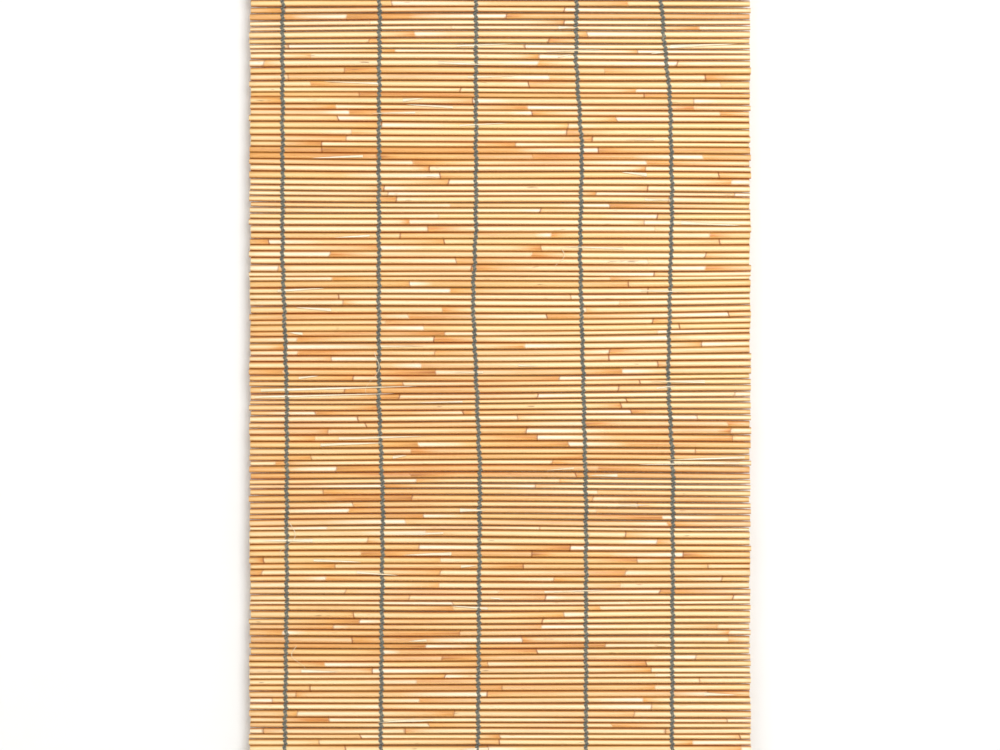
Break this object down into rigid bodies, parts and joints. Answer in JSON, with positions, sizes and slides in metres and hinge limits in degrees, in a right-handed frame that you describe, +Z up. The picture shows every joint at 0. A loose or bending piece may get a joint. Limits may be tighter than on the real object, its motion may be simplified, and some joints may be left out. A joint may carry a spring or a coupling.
{
  "type": "reed roll up blind",
  "caption": "Roll-up window blind of slim natural reeds bound by upright twines, held in a wooden headrail and weighted by a round pole.",
  "frame": {"origin": "midway between the two wall-screw holes, on the headrail's back face", "axes": "+X along the reeds, -Y to the room side, +Z up towards the headrail"},
  "size_m": [0.458, 0.0207, 0.9008],
  "materials": {
    "reed": "glossy straw-coloured reed skin",
    "twine": "two-ply grey-green twine",
    "rail_wood": "planed softwood, thinly oiled",
    "screw_steel": "zinc-plated",
    "pole_wood": "turned softwood dowel, thinly oiled"
  },
  "bodies": {
    "root": {"headrail": "rail_wood", "clamping_lath": "rail_wood", "lath_screws": "screw_steel", "head_reeds": "reed", "twine_1": "twine", "twine_2": "twine", "twine_3": "twine", "twine_4": "twine", "twine_5": "twine"},
    "link_01": {"reeds_01": "reed"},
    "link_02": {"reeds_02": "reed"},
    "link_03": {"reeds_03": "reed"},
    "link_04": {"reeds_04": "reed"},
    "link_05": {"reeds_05": "reed"},
    "link_06": {"reeds_06": "reed"},
    "link_07": {"reeds_07": "reed"},
    "link_08": {"reeds_08": "reed"},
    "link_09": {"reeds_09": "reed"},
    "link_10": {"reeds_10": "reed"},
    "link_11": {"reeds_11": "reed"},
    "link_12": {"reeds_12": "reed"},
    "link_13": {"reeds_13": "reed"},
    "link_14": {"reeds_14": "reed"},
    "link_15": {"reeds_15": "reed"},
    "link_16": {"reeds_16": "reed"},
    "link_17": {"reeds_17": "reed"},
    "link_18": {"reeds_18": "reed"},
    "link_19": {"reeds_19": "reed"},
    "link_20": {"reeds_20": "reed"},
    "link_21": {"reeds_21": "reed"},
    "link_22": {"reeds_22": "reed"},
    "link_23": {"reeds_23": "reed"},
    "link_24": {"reeds_24": "reed"},
    "link_25": {"reeds_25": "reed"},
    "link_26": {"reeds_26": "reed"},
    "link_27": {"reeds_27": "reed"},
    "link_28": {"reeds_28": "reed"},
    "link_29": {"reeds_29": "reed"},
    "link_30": {"reeds_30": "reed"},
    "link_31": {"reeds_31": "reed"},
    "link_32": {"reeds_32": "reed"},
    "link_33": {"reeds_33": "reed"},
    "link_34": {"reeds_34": "reed"},
    "link_35": {"reeds_35": "reed"},
    "link_36": {"reeds_36": "reed"},
    "link_37": {"reeds_37": "reed"},
    "link_38": {"reeds_38": "reed"},
    "link_39": {"reeds_39": "reed"},
    "link_40": {"reeds_40": "reed"},
    "link_41": {"reeds_41": "reed"},
    "link_42": {"reeds_42": "reed"},
    "link_43": {"reeds_43": "reed"},
    "link_44": {"reeds_44": "reed"},
    "link_45": {"reeds_45": "reed"},
    "link_46": {"reeds_46": "reed"},
    "link_47": {"reeds_47": "reed"},
    "link_48": {"reeds_48": "reed"},
    "foot": {"pole": "pole_wood"}
  },
  "joints": [
    {"name": "bend_01", "type": "hinge", "parent": "root", "child": "link_01", "pos_m": [0, -0.01275, -0.0319], "axis": [-1, 0, 0], "range_deg": [0, 20], "deforming": ["twine_1", "twine_2", "twine_3", "twine_4", "twine_5"]},
    {"name": "bend_02", "type": "hinge", "parent": "link_01", "child": "link_02", "pos_m": [0, -0.01275, -0.0539], "axis": [-1, 0, 0], "range_deg": [0, 6]},
    {"name": "bend_03", "type": "hinge", "parent": "link_02", "child": "link_03", "pos_m": [0, -0.01275, -0.0759], "axis": [-1, 0, 0], "range_deg": [0, 6]},
    {"name": "bend_04", "type": "hinge", "parent": "link_03", "child": "link_04", "pos_m": [0, -0.01275, -0.0979], "axis": [-1, 0, 0], "range_deg": [0, 6]},
    {"name": "bend_05", "type": "hinge", "parent": "link_04", "child": "link_05", "pos_m": [0, -0.01275, -0.1199], "axis": [-1, 0, 0], "range_deg": [0, 6]},
    {"name": "bend_06", "type": "hinge", "parent": "link_05", "child": "link_06", "pos_m": [0, -0.01275, -0.1419], "axis": [-1, 0, 0], "range_deg": [0, 29.6]},
    {"name": "bend_07", "type": "hinge", "parent": "link_06", "child": "link_07", "pos_m": [0, -0.01275, -0.1639], "axis": [-1, 0, 0], "range_deg": [0, 30]},
    {"name": "bend_08", "type": "hinge", "parent": "link_07", "child": "link_08", "pos_m": [0, -0.01275, -0.1859], "axis": [-1, 0, 0], "range_deg": [0, 30.5]},
    {"name": "bend_09", "type": "hinge", "parent": "link_08", "child": "link_09", "pos_m": [0, -0.01275, -0.2079], "axis": [-1, 0, 0], "range_deg": [0, 31]},
    {"name": "bend_10", "type": "hinge", "parent": "link_09", "child": "link_10", "pos_m": [0, -0.01275, -0.2299], "axis": [-1, 0, 0], "range_deg": [0, 31.5]},
    {"name": "bend_11", "type": "hinge", "parent": "link_10", "child": "link_11", "pos_m": [0, -0.01275, -0.2519], "axis": [-1, 0, 0], "range_deg": [0, 32]},
    {"name": "bend_12", "type": "hinge", "parent": "link_11", "child": "link_12", "pos_m": [0, -0.01275, -0.2739], "axis": [-1, 0, 0], "range_deg": [0, 32.5]},
    {"name": "bend_13", "type": "hinge", "parent": "link_12", "child": "link_13", "pos_m": [0, -0.01275, -0.2959], "axis": [-1, 0, 0], "range_deg": [0, 33.1]},
    {"name": "bend_14", "type": "hinge", "parent": "link_13", "child": "link_14", "pos_m": [0, -0.01275, -0.3179], "axis": [-1, 0, 0], "range_deg": [0, 33.8]},
    {"name": "bend_15", "type": "hinge", "parent": "link_14", "child": "link_15", "pos_m": [0, -0.01275, -0.3399], "axis": [-1, 0, 0], "range_deg": [0, 34.4]},
    {"name": "bend_16", "type": "hinge", "parent": "link_15", "child": "link_16", "pos_m": [0, -0.01275, -0.3619], "axis": [-1, 0, 0], "range_deg": [0, 30.6]},
    {"name": "bend_17", "type": "hinge", "parent": "link_16", "child": "link_17", "pos_m": [0, -0.01275, -0.3784], "axis": [-1, 0, 0], "range_deg": [0, 26.5]},
    {"name": "bend_18", "type": "hinge", "parent": "link_17", "child": "link_18", "pos_m": [0, -0.01275, -0.3949], "axis": [-1, 0, 0], "range_deg": [0, 27]},
    {"name": "bend_19", "type": "hinge", "parent": "link_18", "child": "link_19", "pos_m": [0, -0.01275, -0.4114], "axis": [-1, 0, 0], "range_deg": [0, 27.4]},
    {"name": "bend_20", "type": "hinge", "parent": "link_19", "child": "link_20", "pos_m": [0, -0.01275, -0.4279], "axis": [-1, 0, 0], "range_deg": [0, 27.9]},
    {"name": "bend_21", "type": "hinge", "parent": "link_20", "child": "link_21", "pos_m": [0, -0.01275, -0.4444], "axis": [-1, 0, 0], "range_deg": [0, 28.4]},
    {"name": "bend_22", "type": "hinge", "parent": "link_21", "child": "link_22", "pos_m": [0, -0.01275, -0.4609], "axis": [-1, 0, 0], "range_deg": [0, 28.9]},
    {"name": "bend_23", "type": "hinge", "parent": "link_22", "child": "link_23", "pos_m": [0, -0.01275, -0.4774], "axis": [-1, 0, 0], "range_deg": [0, 29.4]},
    {"name": "bend_24", "type": "hinge", "parent": "link_23", "child": "link_24", "pos_m": [0, -0.01275, -0.4939], "axis": [-1, 0, 0], "range_deg": [0, 30]},
    {"name": "bend_25", "type": "hinge", "parent": "link_24", "child": "link_25", "pos_m": [0, -0.01275, -0.5104], "axis": [-1, 0, 0], "range_deg": [0, 30.6]},
    {"name": "bend_26", "type": "hinge", "parent": "link_25", "child": "link_26", "pos_m": [0, -0.01275, -0.5269], "axis": [-1, 0, 0], "range_deg": [0, 31.3]},
    {"name": "bend_27", "type": "hinge", "parent": "link_26", "child": "link_27", "pos_m": [0, -0.01275, -0.5434], "axis": [-1, 0, 0], "range_deg": [0, 32]},
    {"name": "bend_28", "type": "hinge", "parent": "link_27", "child": "link_28", "pos_m": [0, -0.01275, -0.5599], "axis": [-1, 0, 0], "range_deg": [0, 32.7]},
    {"name": "bend_29", "type": "hinge", "parent": "link_28", "child": "link_29", "pos_m": [0, -0.01275, -0.5764], "axis": [-1, 0, 0], "range_deg": [0, 33.5]},
    {"name": "bend_30", "type": "hinge", "parent": "link_29", "child": "link_30", "pos_m": [0, -0.01275, -0.5929], "axis": [-1, 0, 0], "range_deg": [0, 34.4]},
    {"name": "bend_31", "type": "hinge", "parent": "link_30", "child": "link_31", "pos_m": [0, -0.01275, -0.6094], "axis": [-1, 0, 0], "range_deg": [0, 35.3]},
    {"name": "bend_32", "type": "hinge", "parent": "link_31", "child": "link_32", "pos_m": [0, -0.01275, -0.6259], "axis": [-1, 0, 0], "range_deg": [0, 36.4]},
    {"name": "bend_33", "type": "hinge", "parent": "link_32", "child": "link_33", "pos_m": [0, -0.01275, -0.6424], "axis": [-1, 0, 0], "range_deg": [0, 37.5]},
    {"name": "bend_34", "type": "hinge", "parent": "link_33", "child": "link_34", "pos_m": [0, -0.01275, -0.6589], "axis": [-1, 0, 0], "range_deg": [0, 38.7]},
    {"name": "bend_35", "type": "hinge", "parent": "link_34", "child": "link_35", "pos_m": [0, -0.01275, -0.6754], "axis": [-1, 0, 0], "range_deg": [0, 40.1]},
    {"name": "bend_36", "type": "hinge", "parent": "link_35", "child": "link_36", "pos_m": [0, -0.01275, -0.6919], "axis": [-1, 0, 0], "range_deg": [0, 41.6]},
    {"name": "bend_37", "type": "hinge", "parent": "link_36", "child": "link_37", "pos_m": [0, -0.01275, -0.7084], "axis": [-1, 0, 0], "range_deg": [0, 43.3]},
    {"name": "bend_38", "type": "hinge", "parent": "link_37", "child": "link_38", "pos_m": [0, -0.01275, -0.7249], "axis": [-1, 0, 0], "range_deg": [0, 45.2]},
    {"name": "bend_39", "type": "hinge", "parent": "link_38", "child": "link_39", "pos_m": [0, -0.01275, -0.7414], "axis": [-1, 0, 0], "range_deg": [0, 47.5]},
    {"name": "bend_40", "type": "hinge", "parent": "link_39", "child": "link_40", "pos_m": [0, -0.01275, -0.7579], "axis": [-1, 0, 0], "range_deg": [0, 50.1]},
    {"name": "bend_41", "type": "hinge", "parent": "link_40", "child": "link_41", "pos_m": [0, -0.01275, -0.7744], "axis": [-1, 0, 0], "range_deg": [0, 53.2]},
    {"name": "bend_42", "type": "hinge", "parent": "link_41", "child": "link_42", "pos_m": [0, -0.01275, -0.7909], "axis": [-1, 0, 0], "range_deg": [0, 57]},
    {"name": "bend_43", "type": "hinge", "parent": "link_42", "child": "link_43", "pos_m": [0, -0.01275, -0.8074], "axis": [-1, 0, 0], "range_deg": [0, 50.3]},
    {"name": "bend_44", "type": "hinge", "parent": "link_43", "child": "link_44", "pos_m": [0, -0.01275, -0.8184], "axis": [-1, 0, 0], "range_deg": [0, 42.3]},
    {"name": "bend_45", "type": "hinge", "parent": "link_44", "child": "link_45", "pos_m": [0, -0.01275, -0.8294], "axis": [-1, 0, 0], "range_deg": [0, 45.1]},
    {"name": "bend_46", "type": "hinge", "parent": "link_45", "child": "link_46", "pos_m": [0, -0.01275, -0.8404], "axis": [-1, 0, 0], "range_deg": [0, 48.5]},
    {"name": "bend_47", "type": "hinge", "parent": "link_46", "child": "link_47", "pos_m": [0, -0.01275, -0.8514], "axis": [-1, 0, 0], "range_deg": [0, 53]},
    {"name": "bend_48", "type": "hinge", "parent": "link_47", "child": "link_48", "pos_m": [0, -0.01275, -0.8624], "axis": [-1, 0, 0], "range_deg": [0, 58.9]},
    {"name": "pole_turn", "type": "hinge", "parent": "link_48", "child": "foot", "pos_m": [0, -0.01275, -0.8734], "axis": [-1, 0, 0], "range_deg": [0, 96]}
  ]
}
